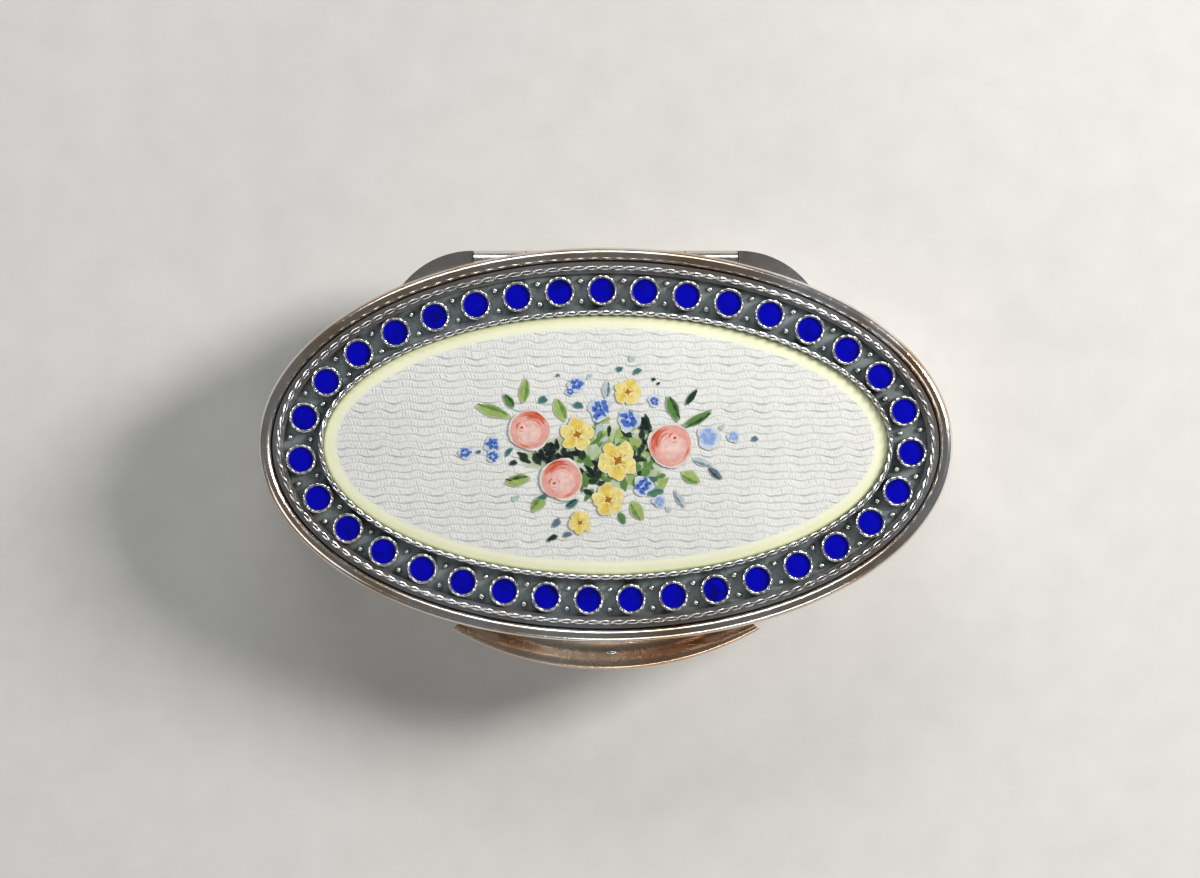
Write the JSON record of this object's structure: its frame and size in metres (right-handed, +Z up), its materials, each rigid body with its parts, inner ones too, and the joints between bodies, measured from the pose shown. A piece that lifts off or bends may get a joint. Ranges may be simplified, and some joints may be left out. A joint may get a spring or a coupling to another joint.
{
  "type": "pill box",
  "caption": "Oval silver pill box with a hinged snap lid, a domed painted enamel plaque and a channel of blue enamel dots in collars between twisted wires.",
  "frame": {"origin": "the middle of the flat bottom that the box rests on", "axes": "+X along the length of the oval, +Y to the hinge at the back, +Z up through the lid"},
  "size_m": [0.051, 0.0311, 0.0125],
  "materials": {
    "silver": "worn polished silver",
    "gilt_silver": "soft gilt",
    "oxidised_silver": "oxidised",
    "bright_wire": "rubbed silver",
    "steel_pin": "drawn wire",
    "plaque_silver": "engine turned",
    "counter_enamel": "gloss",
    "pearl_enamel": "gloss",
    "blue_enamel": "gloss"
  },
  "bodies": {
    "base": {"base_pan": "silver", "hinge_bed": "silver", "base_rim_wire": "silver", "base_bezel": "gilt_silver", "catch_bead": "gilt_silver", "hinge_pin": "steel_pin", "base_knuckle_left": "silver", "base_knuckle_middle": "silver", "base_knuckle_right": "silver"},
    "lid": {"catch_nib": "silver", "dot_collars": "bright_wire", "dot_enamels": "blue_enamel", "dot_rope_rings": "bright_wire", "filigree_tray": "oxidised_silver", "granules_inner": "bright_wire", "granules_outer": "bright_wire", "inner_rope": "bright_wire", "lid_knuckle_left": "silver", "lid_knuckle_right": "silver", "lid_ledge": "silver", "lid_plate": "gilt_silver", "lid_rim_wire": "silver", "lid_skirt": "silver", "outer_rope": "bright_wire", "plaque_bezel": "oxidised_silver", "plaque_counter_enamel": "counter_enamel", "plaque_enamel": "pearl_enamel", "plaque_plate": "plaque_silver", "thumb_lip": "silver"}
  },
  "joints": [
    {"name": "lid_hinge", "type": "hinge", "parent": "base", "child": "lid", "pos_m": [0, 0.0136, 0.009], "axis": [-1, 0, 0], "range_deg": [0, 95]}
  ]
}
